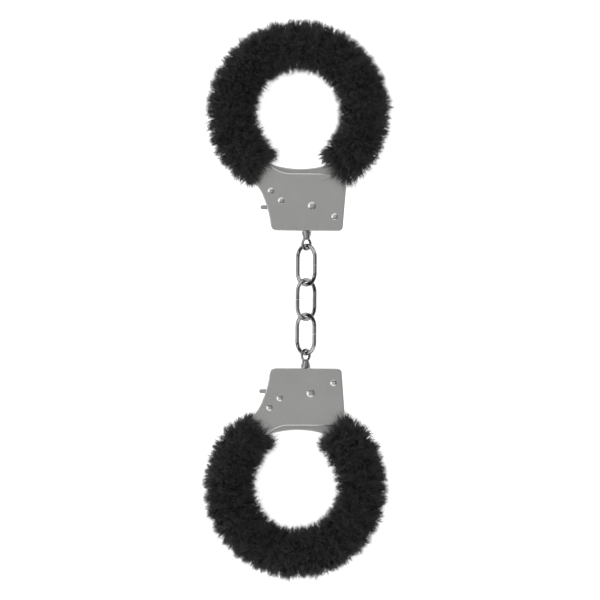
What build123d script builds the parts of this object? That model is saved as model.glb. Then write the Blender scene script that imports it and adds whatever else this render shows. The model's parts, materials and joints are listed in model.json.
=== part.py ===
from build123d import *
import os
from math import cos, radians, sin, sqrt, tan

os.makedirs("parts", exist_ok=True)

# A pair of furry handcuffs lying flat, in millimetres. +Z is up and the chain runs along Y.
# Cuff a is at +Y and cuff b at -Y. Cuff b is cuff a mirrored in the plane Y = 0.
# Places on a cuff are given as (x, d), where d runs from the ring's centre towards the chain.

# ring and strands
RING_Y = 93.8           # ring's centre to the middle of the chain
MID_Z = 11.0            # height of the plane halfway through both cuffs
STRAND_IN = 28.5        # inner radius of the metal strands
STRAND_OUT = 36.5       # outer radius of the metal strands
PIVOT_D = -(STRAND_IN + STRAND_OUT) / 2
EYE_R = 5.5             # round end of each strand at the pivot
FLARE = 210.0           # degrees round the ring, where the cheek leaves its strand
THROAT = 234.4          # degrees round the ring, where its inner edge leaves the circle
ARM_FLARE = -28.0       # degrees round the ring, where the arm widens
LAP = 1.0               # degrees that the cheek's strand laps over its flare
ARM_LAP = 2.0           # the same for the arm

# thicknesses
CHEEK = 1.5             # each cheek plate
GAP = 4.0               # between the cheek plates
ARM = 3.4               # the swing arm
PAWL = 3.6              # the pawl
HALF = GAP / 2 + CHEEK  # from the middle plane to a cheek's outer face
EDGE = 0.6              # rounding of the cheeks' outer edges
ARM_EDGE = 0.5          # rounding of the arm's edges

# lock body
TOP_D = 30.65           # the body's straight edge inside the ring
END_D = 59.35           # the body's edge at the chain
RIVET_FIT = 0.02        # radial gap of a rivet in its hole
RUNNING = 0.05          # radial gap of a turning fit
HEAD_HIGH = 0.45        # how far a rivet's head stands proud
HEAD_RIM = 0.12         # height of a head's upright rim
FRAME_CORNER = 0.6      # rounding of the lock frame's corners
SPACER_CORNER = 0.5

# rivets and pins: (x, d)
SPACER_RIVET = (-13.3, 39.6)
PAWL_PIN = (-8.2, 44.45)
KEY_POST = (7.25, 47.0)
FRAME_RIVET = (18.6, 52.25)
PIVOT = (0.0, PIVOT_D)

# ratchet
CREST_R = 69.0          # tooth tips, measured from the pivot
TOOTH_DEEP = 0.9
TOOTH_STEP = 2.0        # degrees between teeth
HOOK_LEAN = 15.0        # undercut of the locking faces, in degrees
PAWL_LIFT = 5.0         # degrees from engaged to clear of the teeth
MESH_GAP = 0.1
TOOTH_LAND = 0.35       # flat at a tooth's tip
ARM_TEETH = 14
ARM_FIRST = -14.0       # degrees round the pivot to the arm's first gap
PAWL_TEETH = 3
PAWL_FIRST = 4.0
LEAN = tan(radians(HOOK_LEAN))
GAP_WIDE = CREST_R * radians(TOOTH_STEP) - TOOTH_LAND

# rivets, key post and keyhole
SHANK_R = 1.1
RIVET_HEAD_R = 1.6
PIVOT_R = 2.0
PIVOT_HEAD_R = 3.4
POST_R = 1.3
POST_TENON_R = 1.1
POST_HEAD_R = 2.05
POST_HEAD_HIGH = 0.5
POST_BEVEL = 0.3        # on the post's free end
DIMPLE_R = 0.6          # punch mark in the frame's rivet
DIMPLE_UP = 0.25        # its centre over the head
KEYHOLE_R = 2.7
BIT_REACH = 5.8         # from the post's centre to the end of the keyhole's slot
BIT_WIDE = 1.6

# lock body's inner pieces
BAR_D = 55.95           # inner edge of the frame's bar at the chain
TAIL_D = 47.75          # the release lever's centre line
TAIL_TIP_X = -18.6
TAIL_WIDE = 2.1
HUB_R = 2.5             # the pawl round its pin
LEAF = 0.35             # the spring's thickness
LEAF_WIDE = 3.0

# swivel and chain
CHAIN_X = 4.6
NECK_R = 1.2
HEAD_R = 1.8
NECK_BORE = 5.0         # depth drilled through the frame's bar
HEAD_D = 53.95          # inner face of the swivel's head
HEAD_FOOT_D = 55.7      # its face against the bar
COLLAR_D = END_D + 0.2  # the collar's face against the body
COLLAR_R = 2.5
COLLAR_TIP_D = 63.45    # where the collar meets the loop
LOOP_R = 2.75           # centre line of the swivel's loop
LOOP_WIRE = 1.4
LOOP_D = 65.95
LINK_WIRE = 2.1
LINK_LONG = 21.75       # over the wire
LINK_WIDE = 14.2
LINK_STEP = 17.25       # from one link's middle to the next
BUTT_GAP = 0.06
CHAIN_ROLL = 45.0       # degrees from level to a link's plane

# fur
FUR_RING = 33.3         # centre line of the fur tube
FUR_R = 11.0            # the tube's radius
FUR_END = 48.0          # degrees from the ring's cross axis to a sleeve's end
FUR_GAP = 0.3
FUR_NOTCH = 47.0        # degrees cut back beyond the pivot, on each side


def at(x, d):
    return (x, RING_Y - d)


def on_ring(radius, angle):
    """A point on a circle round the ring, where angle is anticlockwise from +X."""
    return (radius * cos(radians(angle)), RING_Y + radius * sin(radians(angle)))


def level(height):
    return Plane.XY.offset(MID_Z + height)


def crest(x, radius=CREST_R):
    """The point at x on a circle round the pivot, on the body's side."""
    return at(x, PIVOT_D + sqrt(radius**2 - x**2))


# ---------------------------------------------------------------- outlines


def strand_outline(start, end):
    """A strand's flat shape from one angle round the ring to the pivot, with its round end."""
    middle = (start + end) / 2
    with BuildSketch() as outline:
        with BuildLine():
            Line(on_ring(STRAND_IN, start), on_ring(STRAND_OUT, start))
            ThreePointArc(
                on_ring(STRAND_OUT, start), on_ring(STRAND_OUT, middle), on_ring(STRAND_OUT, end)
            )
            Line(on_ring(STRAND_OUT, end), on_ring(STRAND_IN, end))
            ThreePointArc(
                on_ring(STRAND_IN, end), on_ring(STRAND_IN, middle), on_ring(STRAND_IN, start)
            )
        make_face()
        with Locations(at(*PIVOT)):
            Circle(EYE_R)
    return outline.sketch


def cheek_outline():
    """The flat shape of a cheek: the lock body's side, flared into its strand."""
    flare = on_ring(STRAND_OUT, FLARE)
    inner_flare = on_ring(STRAND_IN, FLARE)
    throat = on_ring(STRAND_IN, THROAT)
    shoulder = at(-21.6, 35.3)
    waist = at(-17.0, 43.2)
    chain_left = at(-13.4, END_D)
    chain_right = at(22.65, END_D)
    ring_right = at(24.85, TOP_D)
    with BuildSketch() as outline:
        with BuildLine():
            Line(chain_right, chain_left)
            ThreePointArc(chain_left, at(-14.6, 50.5), waist)
            ThreePointArc(waist, at(-18.8, 39.3), shoulder)
            Line(shoulder, flare)
            Line(flare, inner_flare)
            ThreePointArc(inner_flare, on_ring(STRAND_IN, (FLARE + THROAT) / 2), throat)
            ThreePointArc(throat, at(-12.3, 27.8), at(-3.5, TOP_D))
            Line(at(-3.5, TOP_D), ring_right)
            Line(ring_right, chain_right)
        make_face()
        for corner, radius in ((chain_left, 3.5), (chain_right, 2.2), (ring_right, 1.5)):
            fillet(outline.vertices().sort_by_distance(corner)[0], radius)
        add(strand_outline(90, FLARE + LAP))
    return outline.sketch


def arm_outline():
    """The arm's flat shape: a strand from the pivot, widened at its toothed end."""
    tip_out = crest(-17.6)
    flare = on_ring(STRAND_OUT, ARM_FLARE)
    flare_end = on_ring(STRAND_OUT, 2 * ARM_FLARE)
    with BuildSketch() as outline:
        with BuildLine():
            ThreePointArc(crest(18.5), crest(0), tip_out)
            ThreePointArc(tip_out, at(-19.3, 29.5), at(-17.4, 24.6))
            ThreePointArc(at(-17.4, 24.6), at(1.2, 28.35), at(19.0, 24.75))
            Line(at(19.0, 24.75), on_ring(STRAND_IN, ARM_FLARE))
            Line(on_ring(STRAND_IN, ARM_FLARE), flare)
            ThreePointArc(flare, on_ring(STRAND_OUT, 1.5 * ARM_FLARE), flare_end)
            Line(flare_end, crest(18.5))
        make_face()
        add(strand_outline(ARM_FLARE - ARM_LAP, 90))
    return outline.sketch


def teeth(first, count, points):
    """A shape given in the frame of a tooth gap, repeated round the pivot."""
    with BuildSketch() as shapes:
        with Locations(at(*PIVOT)):
            with PolarLocations(0, count, start_angle=first, angular_range=count * TOOTH_STEP):
                Polygon(*points, align=None)
    return shapes.sketch


def arm_gaps():
    """The gaps between the arm's teeth. Each locking face leans over its gap."""
    beyond = 0.5
    points = (
        (beyond * LEAN, -CREST_R - beyond),
        (-TOOTH_DEEP * LEAN, TOOTH_DEEP - CREST_R),
        (GAP_WIDE, -CREST_R),
        (GAP_WIDE, -CREST_R - beyond),
    )
    return teeth(ARM_FIRST, ARM_TEETH, points)


def pawl_teeth():
    """Teeth that fill the arm's gaps, swung clear of them round the pawl's pin."""
    base = 2.0
    points = (
        (-TOOTH_DEEP * LEAN + MESH_GAP, TOOTH_DEEP - CREST_R - MESH_GAP),
        (GAP_WIDE, -CREST_R - MESH_GAP),
        (GAP_WIDE, -CREST_R - base),
        (base * LEAN + MESH_GAP, -CREST_R - base),
    )
    pin = Axis((*at(*PAWL_PIN), 0), (0, 0, 1))
    return teeth(PAWL_FIRST, PAWL_TEETH, points).rotate(pin, -PAWL_LIFT)


# ---------------------------------------------------------------- plates and bars


def cheek(side):
    """A cheek plate. side is 1 for the front, on top, and -1 for the rear, with the keyhole."""
    inner = level(side * GAP / 2)
    with BuildPart() as plate:
        with BuildSketch(inner):
            add(cheek_outline())
        extrude(amount=side * CHEEK)
        outer = plate.faces().sort_by(Axis.Z)[-1 if side > 0 else 0]
        fillet(outer.outer_wire().edges(), EDGE)
        with BuildSketch(inner):
            with Locations(at(*SPACER_RIVET), at(*PAWL_PIN), at(*FRAME_RIVET)):
                Circle(SHANK_R + RIVET_FIT)
            with Locations(at(*PIVOT)):
                Circle(PIVOT_R + RIVET_FIT)
            with Locations(at(*KEY_POST)):
                if side > 0:
                    Circle(POST_TENON_R + RIVET_FIT)
                else:
                    Circle(KEYHOLE_R)
                    Rectangle(BIT_REACH, BIT_WIDE, align=(Align.MAX, Align.CENTER))
        extrude(amount=side * CHEEK, mode=Mode.SUBTRACT)
    return plate.part


def swing_arm():
    with BuildPart() as arm:
        with BuildSketch(level(-ARM / 2)):
            add(arm_outline())
        extrude(amount=ARM)
        fillet(arm.faces().filter_by(Axis.Z).edges(), ARM_EDGE)
        with BuildSketch(level(-ARM / 2)):
            add(arm_gaps())
            with Locations(at(*PIVOT)):
                Circle(PIVOT_R + RUNNING)
        extrude(amount=ARM, mode=Mode.SUBTRACT)
    return arm.part


def spacer():
    """The block between the cheeks at the body's upper left."""
    with BuildPart() as block:
        with BuildSketch(level(-GAP / 2)) as plan:
            Polygon(
                at(-19.3, 37.3), at(-17.5, 40.4), at(-15.9, 45.9), at(-12.2, 45.9),
                at(-11.2, 42.6), at(-11.2, 37.3), align=None,
            )
            fillet(plan.vertices(), SPACER_CORNER)
            with Locations(at(*SPACER_RIVET)):
                Circle(SHANK_R + RIVET_FIT, mode=Mode.SUBTRACT)
        extrude(amount=GAP)
    return block.part


def lock_frame():
    """The block between the cheeks along the chain end and the right, bored for the swivel."""
    neck = Plane(origin=(*at(CHAIN_X, END_D), MID_Z), z_dir=(0, 1, 0))
    with BuildPart() as frame:
        with BuildSketch(level(-GAP / 2)) as plan:
            Polygon(
                at(-14.1, 50.4), at(-12.8, 58.8), at(22.0, 58.8), at(23.3, 37.8), at(20.9, 37.8),
                at(20.7, 49.6), at(16.4, 49.6), at(16.4, BAR_D), at(-11.2, BAR_D), at(-11.2, 50.4),
                align=None,
            )
            fillet(plan.vertices(), FRAME_CORNER)
            with Locations(at(*FRAME_RIVET)):
                Circle(SHANK_R + RIVET_FIT, mode=Mode.SUBTRACT)
        extrude(amount=GAP)
        with BuildSketch(neck):
            Circle(NECK_R + RUNNING)
        extrude(amount=NECK_BORE, mode=Mode.SUBTRACT)
    return frame.part


def pawl():
    """The toothed bar, with its hook round the key post and its tail as the release lever."""
    hub = at(*PAWL_PIN)
    elbow = (at(-13.0, TAIL_D), at(TAIL_TIP_X + TAIL_WIDE / 2, TAIL_D))
    with BuildPart() as bar:
        with BuildSketch(level(-PAWL / 2)):
            with Locations(hub):
                Circle(HUB_R)
            with BuildLine():
                Polyline(
                    at(-8.6, 42.0), at(-2.0, 38.3), at(13.6, 38.3), at(15.6, 40.3), at(15.6, 52.9),
                    at(14.2, 54.3), at(7.2, 54.3), at(7.2, 52.7), at(12.3, 52.7), at(12.9, 52.1),
                    at(12.9, 43.4), at(12.0, 42.5), at(2.0, 42.5), at(-5.8, 45.2), at(-8.6, 46.0),
                    close=True,
                )
            make_face()
            with BuildLine():
                Line(hub, elbow[0])
                Line(*elbow)
            trace(line_width=TAIL_WIDE)
            with Locations(elbow[1]):
                Circle(TAIL_WIDE / 2)
            add(pawl_teeth())
            with Locations(hub):
                Circle(SHANK_R + RUNNING, mode=Mode.SUBTRACT)
        extrude(amount=PAWL)
    return bar.part


def pawl_spring():
    """A leaf from the frame's left end to the underside of the pawl's bar."""
    with BuildPart() as leaf:
        with BuildSketch(level(-LEAF_WIDE / 2)):
            with BuildLine():
                ThreePointArc(at(-10.9, 53.4), at(-4.2, 50.6), at(0.9, 43.25))
            trace(line_width=LEAF)
        extrude(amount=LEAF_WIDE)
    return leaf.part


# ---------------------------------------------------------------- rivets, post and swivel


def turned(place, points, domes=()):
    """A solid of revolution on a vertical axis, from (radius, height over the middle plane).

    domes names the points at which an arc that leaves the axis level ends.
    """
    x, y = at(*place)
    with BuildPart() as piece:
        with BuildSketch(Plane(origin=(x, y, MID_Z), x_dir=(1, 0, 0), z_dir=(0, -1, 0))):
            with BuildLine():
                for start, end in zip(points, points[1:] + points[:1]):
                    if start in domes and end[0] == 0:
                        TangentArc(end, start, tangent=(1, 0))
                    elif end in domes and start[0] == 0:
                        TangentArc(start, end, tangent=(1, 0))
                    else:
                        Line(start, end)
            make_face()
        revolve(axis=Axis((x, y, 0), (0, 0, 1)))
    return piece.part


def rivet(place, shank_r, head_r, high=HEAD_HIGH):
    """A rivet through both cheeks, with a low domed head at each end."""
    top = (head_r, HALF + HEAD_RIM)
    foot = (head_r, -HALF - HEAD_RIM)
    points = [
        (0, -HALF - high), foot, (head_r, -HALF), (shank_r, -HALF),
        (shank_r, HALF), (head_r, HALF), top, (0, HALF + high),
    ]
    return turned(place, points, domes=(foot, top))


def frame_rivet():
    """The frame's rivet, with a punched dimple in its front head."""
    x, y = at(*FRAME_RIVET)
    with BuildPart() as piece:
        add(rivet(FRAME_RIVET, SHANK_R, RIVET_HEAD_R))
        with Locations((x, y, MID_Z + HALF + HEAD_HIGH + DIMPLE_UP)):
            Sphere(DIMPLE_R, mode=Mode.SUBTRACT)
    return piece.part


def key_post():
    """The post for the key's hollow barrel, riveted through the front cheek."""
    top = (POST_HEAD_R, HALF + HEAD_RIM)
    points = [
        (0, -HALF), (POST_R - POST_BEVEL, -HALF), (POST_R, POST_BEVEL - HALF), (POST_R, GAP / 2),
        (POST_TENON_R, GAP / 2), (POST_TENON_R, HALF), (POST_HEAD_R, HALF), top,
        (0, HALF + POST_HEAD_HIGH),
    ]
    return turned(KEY_POST, points, domes=(top,))


def chain_plane(y, roll):
    """A plane that holds the chain's line. Its x axis is rolled from +X towards +Z."""
    across = (cos(radians(roll)), 0, sin(radians(roll)))
    away = (-sin(radians(roll)), 0, cos(radians(roll)))
    return Plane(origin=(CHAIN_X, y, MID_Z), x_dir=across, z_dir=away)


def swivel_eye():
    """Head, neck, tapered collar and loop, turned on the chain's line."""
    profile = (
        (0, HEAD_D), (HEAD_R, HEAD_D), (HEAD_R, HEAD_FOOT_D), (NECK_R, HEAD_FOOT_D),
        (NECK_R, COLLAR_D), (COLLAR_R, COLLAR_D), (2.45, 60.3), (1.7, 63.1),
        (NECK_R, COLLAR_TIP_D), (0, COLLAR_TIP_D),
    )
    with BuildPart() as eye:
        with BuildSketch(chain_plane(0, 0)):
            Polygon(*((radius, RING_Y - d) for radius, d in profile), align=None)
        revolve(axis=Axis((CHAIN_X, 0, MID_Z), (0, 1, 0)))
        with Locations(chain_plane(RING_Y - LOOP_D, -CHAIN_ROLL)):
            Torus(LOOP_R, LOOP_WIRE / 2)
    return eye.part


def chain_link(y, roll, butt_side):
    """A link of bent wire, butt-joined in the middle of one side (1 right, -1 left)."""
    half_long = (LINK_LONG - LINK_WIRE) / 2
    half_wide = (LINK_WIDE - LINK_WIRE) / 2
    bend = half_long - half_wide
    butt = BUTT_GAP / 2
    side = butt_side * half_wide
    with BuildPart() as link:
        with BuildLine(chain_plane(y, roll)) as wire:
            Line((side, butt), (side, bend))
            ThreePointArc((side, bend), (0, half_long), (-side, bend))
            Line((-side, bend), (-side, -bend))
            ThreePointArc((-side, -bend), (0, -half_long), (side, -bend))
            Line((side, -bend), (side, -butt))
        with BuildSketch(Plane(origin=wire.line @ 0, z_dir=wire.line % 0)):
            Circle(LINK_WIRE / 2)
        sweep(path=wire.line)
    return link.part


# ---------------------------------------------------------------- fur


def fur_tube(side, tunnel_high):
    """Half of the fur ring, with a tunnel for its strand. side is -1 for the left, 1 for the right.

    Beyond the pivot the two halves are cut back, so that the arm can open past a right angle.
    """
    far = 80  # well outside the fur
    wide = side * 1.4 * far  # past the corner cut at the sleeve's end
    end = -90 + side * (90 - FUR_END)
    notch = 90 - side * FUR_NOTCH
    x_cut = side * FUR_GAP / 2
    middle = Plane(origin=(0, RING_Y, MID_Z), x_dir=(1, 0, 0), z_dir=(0, -1, 0))
    pivot_x, pivot_y = at(*PIVOT)
    outer = (
        pivot_x + x_cut + far * cos(radians(notch)),
        pivot_y + far * sin(radians(notch)),
    )
    with BuildPart() as tube:
        with BuildSketch(middle):
            with Locations((FUR_RING, 0)):
                Circle(FUR_R)
            with Locations(((STRAND_IN + STRAND_OUT) / 2, 0)):
                Rectangle(STRAND_OUT - STRAND_IN + 2 * FUR_GAP, tunnel_high, mode=Mode.SUBTRACT)
        revolve(axis=Axis((0, RING_Y, 0), (0, 0, 1)))
        with BuildSketch(level(-2 * FUR_R)):
            Polygon(
                (x_cut, RING_Y), on_ring(far, end), (wide, RING_Y - far),
                (wide, RING_Y + far), outer, (x_cut, pivot_y), align=None,
            )
        extrude(amount=4 * FUR_R, mode=Mode.INTERSECT)
        with BuildSketch(level(-HALF - 1)):
            with Locations(at(*PIVOT)):
                Circle(EYE_R + FUR_GAP)
        extrude(amount=2 * (HALF + 1), mode=Mode.SUBTRACT)
    return tube.part


def fixed_fur():
    """The sleeve on the double strand, open for the flare of the lock body."""
    with BuildPart() as sleeve:
        add(fur_tube(-1, 2 * (HALF + FUR_GAP)))
        with BuildSketch(level(-HALF - FUR_GAP)):
            offset(cheek_outline(), FUR_GAP)
        extrude(amount=2 * (HALF + FUR_GAP), mode=Mode.SUBTRACT)
    return sleeve.part


def arm_fur():
    """The sleeve on the single strand."""
    return fur_tube(1, ARM + 2 * FUR_GAP)


# ---------------------------------------------------------------- the whole


def save(piece, name):
    piece.label = name
    export_step(piece, f"parts/{name}.step")


CUFF = {
    "cheek_front": cheek(1),
    "cheek_rear": cheek(-1),
    "swing_arm": swing_arm(),
    "spacer": spacer(),
    "lock_frame": lock_frame(),
    "pawl": pawl(),
    "pawl_spring": pawl_spring(),
    "pivot_rivet": rivet(PIVOT, PIVOT_R, PIVOT_HEAD_R),
    "spacer_rivet": rivet(SPACER_RIVET, SHANK_R, RIVET_HEAD_R),
    "pawl_pin": rivet(PAWL_PIN, SHANK_R, RIVET_HEAD_R),
    "frame_rivet": frame_rivet(),
    "key_post": key_post(),
    "swivel_eye": swivel_eye(),
    "fixed_fur": fixed_fur(),
    "arm_fur": arm_fur(),
}

for name, piece in CUFF.items():
    save(piece, f"{name}_a")
    save(mirror(piece, about=Plane.XZ), f"{name}_b")

save(chain_link(LINK_STEP, CHAIN_ROLL, 1), "chain_link_1")
save(chain_link(0, -CHAIN_ROLL, -1), "chain_link_2")
save(chain_link(-LINK_STEP, CHAIN_ROLL, 1), "chain_link_3")
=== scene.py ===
import json
import math

import bpy
import numpy as np
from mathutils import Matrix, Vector
from mathutils.kdtree import KDTree


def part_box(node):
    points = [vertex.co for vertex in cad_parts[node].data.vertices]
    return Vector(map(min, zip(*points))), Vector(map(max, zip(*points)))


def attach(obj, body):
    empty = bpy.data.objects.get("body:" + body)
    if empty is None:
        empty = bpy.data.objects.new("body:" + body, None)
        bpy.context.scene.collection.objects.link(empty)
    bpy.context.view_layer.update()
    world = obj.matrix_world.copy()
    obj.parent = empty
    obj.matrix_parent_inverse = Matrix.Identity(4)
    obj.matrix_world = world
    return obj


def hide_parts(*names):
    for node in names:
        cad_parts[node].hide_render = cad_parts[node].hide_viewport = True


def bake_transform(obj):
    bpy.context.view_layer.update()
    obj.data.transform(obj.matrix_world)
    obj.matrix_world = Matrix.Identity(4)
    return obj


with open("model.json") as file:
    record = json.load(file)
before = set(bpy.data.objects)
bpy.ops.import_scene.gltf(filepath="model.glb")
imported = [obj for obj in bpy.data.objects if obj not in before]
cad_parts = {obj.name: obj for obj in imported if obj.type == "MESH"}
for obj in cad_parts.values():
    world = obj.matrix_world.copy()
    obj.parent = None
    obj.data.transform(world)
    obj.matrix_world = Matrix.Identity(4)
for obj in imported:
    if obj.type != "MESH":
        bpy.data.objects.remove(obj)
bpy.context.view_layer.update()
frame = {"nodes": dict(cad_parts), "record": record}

MM = 0.001

# ---------------------------------------------------------------- places, from the frame

MOUNTS = {m["name"]: Vector(m["pos_m"]) for m in frame["record"]["mounts"]}
FUR_LOW, FUR_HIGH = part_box("fixed_fur_a")
CENTRE = MOUNTS["wrist_opening_a"]
TUBE_R = (FUR_HIGH.z - FUR_LOW.z) / 2       # the CAD sleeve's radius
RING_R = -FUR_LOW.x - TUBE_R                # the sleeve's centre line
PLATE_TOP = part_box("cheek_front_a")[1].z


# ---------------------------------------------------------------- materials

NOISE_SPAN = (0.3, 0.7)     # where most of a noise texture's values lie
ROOT_SPAN = (0.35, 0.65)    # the same for a harder mottle
FLECK = 0.22                # share by which a strand's level varies
FLECK_SIZE = 1.3 * MM
COOL = 1.02                 # how much bluer the pile's lighter flecks are
ROOT_SIZE = 0.7 * MM
ROOT_DEEP = 0.25 * MM


class Nodes:
    """A material's node tree with short calls for its nodes."""

    def __init__(self, name):
        self.material = bpy.data.materials.new(name)
        self.material.use_nodes = True
        self.tree = self.material.node_tree
        self.shader = next(n for n in self.tree.nodes if n.type == "BSDF_PRINCIPLED")
        self.place = self.tree.nodes.new("ShaderNodeTexCoord").outputs["Object"]

    def link(self, source, target):
        self.tree.links.new(source, target)

    def stretched(self, scale):
        node = self.tree.nodes.new("ShaderNodeMapping")
        node.inputs["Scale"].default_value = scale
        self.link(self.place, node.inputs["Vector"])
        return node.outputs["Vector"]

    def noise(self, size, detail, scale=(1, 1, 1)):
        """Noise whose features are about size metres across, from 0 to 1."""
        node = self.tree.nodes.new("ShaderNodeTexNoise")
        node.inputs["Scale"].default_value = 1 / size
        node.inputs["Detail"].default_value = detail
        self.link(self.stretched(scale), node.inputs["Vector"])
        return node.outputs["Fac"]

    def between(self, value, low, high):
        """A noise spread over low to high."""
        node = self.tree.nodes.new("ShaderNodeMapRange")
        node.inputs["From Min"].default_value, node.inputs["From Max"].default_value = NOISE_SPAN
        node.inputs["To Min"].default_value = low
        node.inputs["To Max"].default_value = high
        self.link(value, node.inputs["Value"])
        return node.outputs["Result"]

    def colours(self, value, span, *ends):
        """A blend between two colours while value crosses span."""
        node = self.tree.nodes.new("ShaderNodeValToRGB")
        for element, position, colour in zip(node.color_ramp.elements, span, ends):
            element.position = position
            element.color = (*colour, 1)
        self.link(value, node.inputs["Fac"])
        return node.outputs["Color"]

    def bump(self, height, depth, normal=None):
        """Relief of depth metres from a 0 to 1 height."""
        node = self.tree.nodes.new("ShaderNodeBump")
        node.inputs["Distance"].default_value = depth
        self.link(height, node.inputs["Height"])
        if normal is not None:
            self.link(normal, node.inputs["Normal"])
        return node.outputs["Normal"]


def steel(
    name, dark, light, rough, patch, grain, grain_deep, draw=(1, 1, 1), line_deep=0.0, rim=1.0
):
    """Metal with faint tarnish in patches, a fine grain, and draw marks where draw stretches them."""
    n = Nodes(name)
    n.shader.inputs["Metallic"].default_value = 1.0
    n.shader.inputs["Specular Tint"].default_value = (rim, rim, rim, 1)
    tarnish = n.noise(patch, 4.0)
    n.link(n.colours(tarnish, NOISE_SPAN, dark, light), n.shader.inputs["Base Color"])
    lines = n.noise(grain * 2, 2.0, draw)
    n.link(n.between(lines, *rough), n.shader.inputs["Roughness"])
    relief = n.bump(n.noise(grain, 2.0), grain_deep)
    if line_deep:
        relief = n.bump(lines, line_deep, relief)
    n.link(relief, n.shader.inputs["Normal"])
    return n.material


METALS = {
    "body_steel": steel(
        "body_steel", (0.5, 0.5, 0.49), (0.53, 0.53, 0.52), (0.27, 0.34),
        patch=14 * MM, grain=0.35 * MM, grain_deep=0.0004 * MM,
    ),
    "inner_steel": steel(
        "inner_steel", (0.43, 0.43, 0.425), (0.5, 0.5, 0.495), (0.28, 0.4),
        patch=6 * MM, grain=0.4 * MM, grain_deep=0.003 * MM,
        draw=(1, 1, 0.15), line_deep=0.004 * MM,
    ),
    "rivet_steel": steel(
        "rivet_steel", (0.53, 0.53, 0.52), (0.6, 0.6, 0.59), (0.22, 0.3),
        patch=1.5 * MM, grain=0.25 * MM, grain_deep=0.002 * MM,
    ),
    "chain_chrome": steel(
        "chain_chrome", (0.235, 0.235, 0.235), (0.29, 0.29, 0.288), (0.08, 0.16),
        patch=4 * MM, grain=0.5 * MM, grain_deep=0.002 * MM,
        draw=(1, 0.2, 1), line_deep=0.003 * MM, rim=0.45,
    ),
}


def hair_shade(name, level, rough):
    """One of the pile's shades, with a fleck that varies it along and between strands."""
    n = Nodes(name)
    low, high = (1 - FLECK) * level, (1 + FLECK) * level
    fleck = n.noise(FLECK_SIZE, 3.0)
    n.link(
        n.colours(fleck, ROOT_SPAN, (low, low, low), (high, high, COOL * high)),
        n.shader.inputs["Base Color"],
    )
    n.shader.inputs["Roughness"].default_value = rough
    n.shader.inputs["Specular IOR Level"].default_value = 0.25
    return n.material


def pile_ground():
    """The cloth the pile grows from: nearly black, with the mottling of roots."""
    n = Nodes("fur_ground")
    mottle = n.noise(ROOT_SIZE, 4.0)
    n.link(
        n.colours(mottle, ROOT_SPAN, (0.018, 0.018, 0.018), (0.032, 0.032, 0.0325)),
        n.shader.inputs["Base Color"],
    )
    n.link(n.between(mottle, 0.75, 0.95), n.shader.inputs["Roughness"])
    n.link(n.bump(mottle, ROOT_DEEP), n.shader.inputs["Normal"])
    n.shader.inputs["Specular IOR Level"].default_value = 0.15
    return n.material


GROUND = pile_ground()
HAIR = [
    hair_shade("fur_mid", 0.038, 0.62),
    hair_shade("fur_dark", 0.024, 0.7),
    hair_shade("fur_light", 0.056, 0.55),
]
HAIR_SHARES = (0.6, 0.24, 0.16)

for part in frame["record"]["subparts"]:
    slot = part["material_slot"]
    if slot in METALS:
        node = frame["nodes"][part["node"]]
        for place in node.material_slots:
            place.material = METALS[slot]


# ---------------------------------------------------------------- fur

CORE_R = 8.6 * MM           # the cloth under the pile
TUNNEL_OFF = -0.8 * MM      # the strands run inside the sleeve's centre line
TUNNEL_WIDE = 4.5 * MM
TUNNEL_HIGH = 4.25 * MM
TUNNEL_EYE = 6.0 * MM       # its half width round the pivot
TUNNEL_MOUTH = 7.2 * MM     # its half width where the lock body flares
START = math.radians(-51)   # angles round the ring, anticlockwise from +X
END = math.radians(232)
LUMPS = 0.035               # share by which the cloth's radius varies
DRAWN_IN = 0.2              # share by which it is drawn in at each end
BEND = 16 * MM              # how far from the pivot, each way, the upper strands form a piece of their own
FLOOR_GAP = 0.2 * MM        # the lowest strands lie this far over the floor
STRANDS = 40000             # strands round a sleeve
CAP_STRANDS = 2600          # strands on each of its ends
ROOTED = 0.5 * MM           # how deep a strand starts in the cloth
HAIR_R = 0.12 * MM
TALL = 6.4 * MM             # the strands' middling length
CAP_LONGER = 1.35
STRAY_SHARE = 0.06          # strands that stand out of the pile
STRAY_LONGER = 1.3
LEAN_WIDE = 8 * MM          # how far from an end the strands lean over it
COMBED = 0.42               # how far the pile is combed to either side
SCATTER = 0.34              # random turn of each strand
WOBBLE = 0.12 * MM          # of a strand's middle
MIDDLE_THICK = 0.7          # a strand's thickness halfway, as a share of its root's
CLUMP_OF = 5                # strands to a tuft
LONE_SHARE = 0.34           # strands in no tuft


def smooth(x, low, high):
    t = np.clip((x - low) / (high - low), 0, 1)
    return t * t * (3 - 2 * t)


def waves(rng, theta, phi, count, top):
    """A soft random field round the sleeve, from about -1 to 1."""
    total = np.zeros_like(theta)
    for _ in range(count):
        along, about = rng.uniform(3, top), rng.integers(-3, 4)
        total += np.sin(along * theta + about * phi + rng.uniform(0, 2 * math.pi))
    return total / math.sqrt(count)


def unit(v):
    return v / np.maximum(np.linalg.norm(v, axis=-1, keepdims=True), 1e-12)


def axes(theta, phi):
    """Outward normal of the sleeve, and its direction along the ring."""
    out = np.stack([np.cos(phi) * np.cos(theta), np.cos(phi) * np.sin(theta), np.sin(phi)], -1)
    along = np.stack([-np.sin(theta), np.cos(theta), np.zeros_like(theta)], -1)
    return out, along


def on_sleeve(theta, phi, radius, off=0.0):
    """Points round the ring's centre. radius is from the sleeve's own centre line."""
    reach = RING_R + off + radius * np.cos(phi)
    return np.stack([reach * np.cos(theta), reach * np.sin(theta), radius * np.sin(phi)], -1)


def to_cuff(points, side):
    placed = points + np.array(CENTRE)
    placed[..., 1] *= side
    placed[..., 2] = np.maximum(placed[..., 2], FLOOR_GAP)
    return placed


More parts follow.
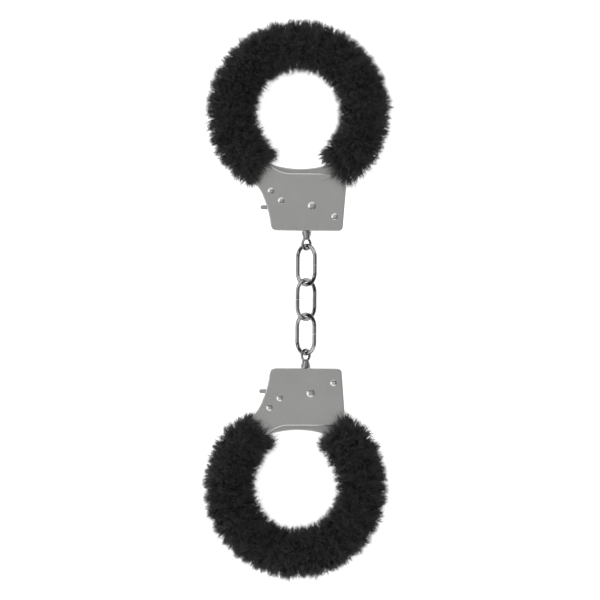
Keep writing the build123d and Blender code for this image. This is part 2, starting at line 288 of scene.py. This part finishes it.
def new_piece(name, points, faces, side, materials):
    if side < 0:
        faces = [f[::-1] for f in faces]
    mesh = bpy.data.meshes.new(name)
    mesh.from_pydata(points, [], faces)
    mesh.polygons.foreach_set("use_smooth", np.ones(len(mesh.polygons), bool))
    for material in materials:
        mesh.materials.append(material)
    piece = bpy.data.objects.new(name, mesh)
    bpy.context.scene.collection.objects.link(piece)
    return piece


def sleeve_radius(theta, bumps=0):
    """The cloth sleeve's radius: lumpy, and drawn in at its two ends."""
    from_end = np.minimum(theta - START, END - theta) * RING_R
    drawn = 1 - DRAWN_IN + DRAWN_IN * np.sqrt(smooth(from_end, 0, 5 * MM))
    return CORE_R * (1 + LUMPS * bumps) * drawn


def core(cuff, side, rng):
    """The cloth sleeve with its tunnel, as one closed mesh."""
    turns, around = 220, 48
    t, p = np.meshgrid(
        np.linspace(START, END, turns), np.arange(around) * 2 * math.pi / around, indexing="ij"
    )
    outer = on_sleeve(t, p, sleeve_radius(t, waves(rng, t, p, 9, 30)))
    to_mouth = smooth(np.minimum(t - START, END - t), math.radians(25), math.radians(8))
    eye = smooth(np.abs(t - math.pi / 2) * RING_R, 10 * MM, 6 * MM)
    wide = TUNNEL_WIDE + (TUNNEL_MOUTH - TUNNEL_WIDE) * to_mouth
    wide = wide + (TUNNEL_EYE - TUNNEL_WIDE) * eye
    power = 6  # makes the tunnel's section a rounded rectangle
    across, upward = np.abs(np.cos(p) / wide), np.abs(np.sin(p) / TUNNEL_HIGH)
    hole = (across**power + upward**power) ** (-1 / power)
    inner = on_sleeve(t, p, hole, TUNNEL_OFF)
    grid = np.arange(turns * around).reshape(turns, around)
    ahead = np.roll(grid, -1, axis=1)
    walls = np.stack([grid[:-1], grid[1:], ahead[1:], ahead[:-1]], -1).reshape(-1, 4)
    shift = turns * around
    first = np.stack([grid[0], ahead[0], ahead[0] + shift, grid[0] + shift], -1)
    last = np.stack([grid[-1], grid[-1] + shift, ahead[-1] + shift, ahead[-1]], -1)
    faces = np.concatenate([walls[:, ::-1], walls + shift, first[:, ::-1], last[:, ::-1]])
    points = np.concatenate([outer.reshape(-1, 3), inner.reshape(-1, 3)])
    return new_piece(f"fur_ground_{cuff}", to_cuff(points, side), faces.tolist(), side, [GROUND])


def roots(rng):
    """Where strands start and which way they point: over the sleeve, then over its two ends."""
    theta = rng.uniform(START, END, STRANDS * 2)
    phi = rng.uniform(-math.pi, math.pi, STRANDS * 2)
    keep = rng.uniform(0, 1, STRANDS * 2) < (RING_R + CORE_R * np.cos(phi)) / (RING_R + CORE_R)
    theta, phi = theta[keep][:STRANDS], phi[keep][:STRANDS]
    out, along = axes(theta, phi)
    near_start = smooth((theta - START) * RING_R, LEAN_WIDE, 0)[:, None]
    near_end = smooth((END - theta) * RING_R, LEAN_WIDE, 0)[:, None]
    lean = rng.uniform(0.3, 2.1, len(theta))[:, None]
    flow = waves(rng, theta, phi, 8, 60)[:, None] * along
    swirl = waves(rng, theta, phi, 8, 60)[:, None] * np.cross(out, along)
    aim = out + COMBED * (flow + swirl) + lean * (near_end - near_start) * along
    start = on_sleeve(theta, phi, sleeve_radius(theta) - ROOTED)
    for edge, sign in ((START, -1), (END, 1)):
        angle = np.full(CAP_STRANDS, edge)
        about = rng.uniform(-math.pi, math.pi, CAP_STRANDS)
        reach = np.sqrt(rng.uniform(0.42, 0.95, CAP_STRANDS)) * (1 - DRAWN_IN) * CORE_R
        cap_out, cap_along = axes(angle, about)
        start = np.concatenate([start, on_sleeve(angle, about, reach)])
        share = (reach / CORE_R)[:, None]
        fan = rng.uniform(0.4, 2.4, CAP_STRANDS)[:, None]
        aim = np.concatenate([aim, sign * cap_along + fan * share * cap_out])
        theta = np.concatenate([theta, angle])
        phi = np.concatenate([phi, about])
    return theta, phi, start, aim


def tufted(rng, start, tip):
    """Draws tips together in spiky tufts, and leaves some strands on their own."""
    leaders = rng.choice(len(start), len(start) // CLUMP_OF, replace=False)
    tree = KDTree(len(leaders))
    for i, leader in enumerate(leaders):
        tree.insert(start[leader], i)
    tree.balance()
    nearest = leaders[[tree.find(point)[1] for point in start]]
    pull = rng.uniform(0.55, 1.0, len(start))
    pull[rng.uniform(0, 1, len(start)) < LONE_SHARE] = 0.0
    return tip + pull[:, None] * (tip[nearest] - tip)


def strands(rng):
    """Tapered, curved, closed three-sided strands: seven points and ten triangles each."""
    theta, phi, start, aim = roots(rng)
    count = len(start)
    out, _ = axes(theta, phi)
    aim = unit(unit(aim) + rng.normal(0, SCATTER, (count, 3)))
    tall = TALL * (1 + 0.08 * waves(rng, theta, phi, 8, 40)) * rng.uniform(0.62, 1.22, count)
    tall[STRANDS:] *= CAP_LONGER * rng.uniform(0.55, 1.05, count - STRANDS)
    stray = rng.uniform(0, 1, count) < STRAY_SHARE
    tall = np.where(stray, tall * STRAY_LONGER, tall)[:, None]
    tip = tufted(rng, start, start + aim * tall)
    rise = unit(unit(tip - start) + 0.25 * out)
    middle = start + rise * tall * 0.5 + rng.normal(0, WOBBLE, (count, 3))
    side = unit(np.cross(tip - start, rng.normal(0, 1, (count, 3))))
    other = unit(np.cross(tip - start, side))
    thick = HAIR_R * rng.uniform(0.75, 1.2, count)[:, None]
    points = np.empty((count, 7, 3))
    for i in range(3):
        turn = 2 * math.pi * i / 3
        spoke = side * math.cos(turn) + other * math.sin(turn)
        points[:, i] = start + spoke * thick
        points[:, 3 + i] = middle + spoke * thick * MIDDLE_THICK
    points[:, 6] = tip
    return start, points


# a strand's foot, the two triangles of each lower side, and its point
SIDES = [(i, (i + 1) % 3) for i in range(3)]
STRAND_FACES = np.array(
    [(0, 2, 1)]
    + [f for i, j in SIDES for f in ((i, j, 3 + j), (i, 3 + j, 3 + i))]
    + [(3 + i, 3 + j, 6) for i, j in SIDES]
)


def hair_piece(name, points, shade, side):
    count = len(points)
    faces = (STRAND_FACES[None] + 7 * np.arange(count)[:, None, None]).reshape(-1, 3)
    piece = new_piece(name, to_cuff(points.reshape(-1, 3), side), faces.tolist(), side, HAIR)
    shades = np.repeat(shade, len(STRAND_FACES)).astype(np.int32)
    piece.data.polygons.foreach_set("material_index", shades)
    return piece


def bend(piece):
    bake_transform(piece)


def fur(cuff, side, seed):
    """A cuff's sleeve and its pile, which replace the two plain fur solids."""
    rng = np.random.default_rng(seed)
    ground = core(cuff, side, rng)
    start, points = strands(rng)
    shade = rng.choice(len(HAIR), len(points), p=HAIR_SHARES)
    upper = start[:, 1] > 0
    at_pivot = upper & (np.abs(start[:, 0]) < BEND)
    on_arm = ~at_pivot & (start[:, 0] > 0)
    on_cuff = ~at_pivot & (start[:, 0] < 0)
    fixed, arm = f"fixed_fur_{cuff}", f"arm_fur_{cuff}"
    bend(ground)
    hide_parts(fixed, arm)
    pile = hair_piece(f"fur_pile_cuff_{cuff}", points[on_cuff], shade[on_cuff], side)
    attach(pile, f"cuff_{cuff}")
    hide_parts(fixed)
    arm_pile = hair_piece(f"fur_pile_arm_{cuff}", points[on_arm], shade[on_arm], side)
    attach(arm_pile, f"arm_{cuff}")
    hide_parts(arm)
    top_pile = hair_piece(f"fur_pile_pivot_{cuff}", points[at_pivot], shade[at_pivot], side)
    bend(top_pile)
    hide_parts(fixed, arm)


fur("a", 1, 11)
fur("b", -1, 23)


# ---------------------------------------------------------------- studio

VIEW_WIDE = 0.3
VIEW_CENTRE = (1.55 * MM, -0.25 * MM)
VIEW_ROLL = math.radians(0.4)
FLOOR_HALF = 4.0
FLAG_HALF = 0.3
SKY = 1.9                   # its brightest level
SKY_END = 1.9               # its level beyond the chain's two ends
SKY_ACROSS = (              # level by how far a direction leans to the right
    (-1.0, 0.5), (-0.94, 1.0), (-0.85, 1.9), (-0.45, 1.9), (-0.33, 0.4), (-0.2, 0.4), (-0.08, 0.6),
    (0.1, 0.56), (0.25, 0.48), (0.38, 0.24), (0.85, 0.24), (0.95, 0.8), (1.0, 0.8),
)
SKY_TO_END = (0.35, 0.75)   # where its level turns into that of the ends


def card(name, corners, level):
    """A matt sheet of the studio, and its shader."""
    mesh = bpy.data.meshes.new(name)
    mesh.from_pydata(corners, [], [(0, 1, 2, 3)])
    sheet = bpy.data.objects.new(name, mesh)
    bpy.context.scene.collection.objects.link(sheet)
    material = bpy.data.materials.new(f"{name}_matt")
    material.use_nodes = True
    shader = next(n for n in material.node_tree.nodes if n.type == "BSDF_PRINCIPLED")
    shader.inputs["Base Color"].default_value = (level, level, level, 1)
    shader.inputs["Roughness"].default_value = 1.0
    mesh.materials.append(material)
    return sheet, shader


def studio_floor():
    """A white floor with a glow of its own, which burns out to pure white."""
    h = FLOOR_HALF
    _, shader = card("floor", [(-h, -h, 0), (h, -h, 0), (h, h, 0), (-h, h, 0)], 0.6)
    shader.inputs["Specular IOR Level"].default_value = 0.0
    shader.inputs["Emission Color"].default_value = (1, 1, 1, 1)
    shader.inputs["Emission Strength"].default_value = 0.85


def sky():
    """Softboxes all round: bright from the left and from both ends, with a dark flag on the right."""
    world = bpy.data.worlds.new("studio")
    bpy.context.scene.world = world
    world.use_nodes = True
    tree = world.node_tree
    direction = tree.nodes.new("ShaderNodeTexCoord").outputs["Generated"]
    parts = tree.nodes.new("ShaderNodeSeparateXYZ")
    tree.links.new(direction, parts.inputs[0])
    across = tree.nodes.new("ShaderNodeMapRange")
    across.inputs["From Min"].default_value = -1
    tree.links.new(parts.outputs["X"], across.inputs["Value"])
    ramp = tree.nodes.new("ShaderNodeValToRGB")
    while len(ramp.color_ramp.elements) < len(SKY_ACROSS):
        ramp.color_ramp.elements.new(0.5)
    for element, (x, level) in zip(ramp.color_ramp.elements, SKY_ACROSS):
        element.position = (x + 1) / 2
        element.color = (level / SKY, level / SKY, level / SKY, 1)
    tree.links.new(across.outputs["Result"], ramp.inputs["Fac"])
    length = tree.nodes.new("ShaderNodeMath")
    length.operation = "ABSOLUTE"
    tree.links.new(parts.outputs["Y"], length.inputs[0])
    ends = tree.nodes.new("ShaderNodeMapRange")
    ends.interpolation_type = "SMOOTHSTEP"
    ends.inputs["From Min"].default_value, ends.inputs["From Max"].default_value = SKY_TO_END
    tree.links.new(length.outputs[0], ends.inputs["Value"])
    mix = tree.nodes.new("ShaderNodeMix")
    mix.data_type = "RGBA"
    tree.links.new(ends.outputs["Result"], mix.inputs["Factor"])
    tree.links.new(ramp.outputs["Color"], mix.inputs[6])
    mix.inputs[7].default_value = (SKY_END / SKY, SKY_END / SKY, SKY_END / SKY, 1)
    back = next(n for n in tree.nodes if n.type == "BACKGROUND")
    back.inputs["Strength"].default_value = SKY
    tree.links.new(mix.outputs[2], back.inputs["Color"])


def flag(name, low, high):
    """A black card on edge over the chain, seen only in reflections: it darkens what faces it."""
    h = FLAG_HALF
    black, _ = card(name, [(-h, 0, low), (h, 0, low), (h, 0, high), (-h, 0, high)], 0.02)
    black.visible_camera = False
    black.visible_diffuse = False
    black.visible_shadow = False


def soft_light(name, place, size, power):
    light = bpy.data.lights.new(name, "AREA")
    light.shape = "DISK"
    light.size = size
    light.energy = power
    lamp = bpy.data.objects.new(name, light)
    lamp.location = place
    lamp.rotation_euler = (-Vector(place)).to_track_quat("-Z", "Y").to_euler()
    lamp.visible_glossy = False
    bpy.context.scene.collection.objects.link(lamp)


def camera():
    """Straight above, with a view of VIEW_WIDE at the height of the plates."""
    distance, sensor = 1.6, 36.0
    data = bpy.data.cameras.new("camera")
    data.sensor_width = sensor
    data.lens = sensor * distance / VIEW_WIDE
    data.clip_start, data.clip_end = 0.05, 20
    eye = bpy.data.objects.new("camera", data)
    eye.location = (*VIEW_CENTRE, PLATE_TOP + distance)
    eye.rotation_euler.z = VIEW_ROLL
    bpy.context.scene.collection.objects.link(eye)
    bpy.context.scene.camera = eye


studio_floor()
sky()
flag("flag_low", 0.012, 0.042)
flag("flag_high", 0.075, 0.16)
soft_light("key", (-0.5, 0.45, 1.5), 1.0, 4.0)
camera()
bpy.context.scene.view_settings.view_transform = "Standard"
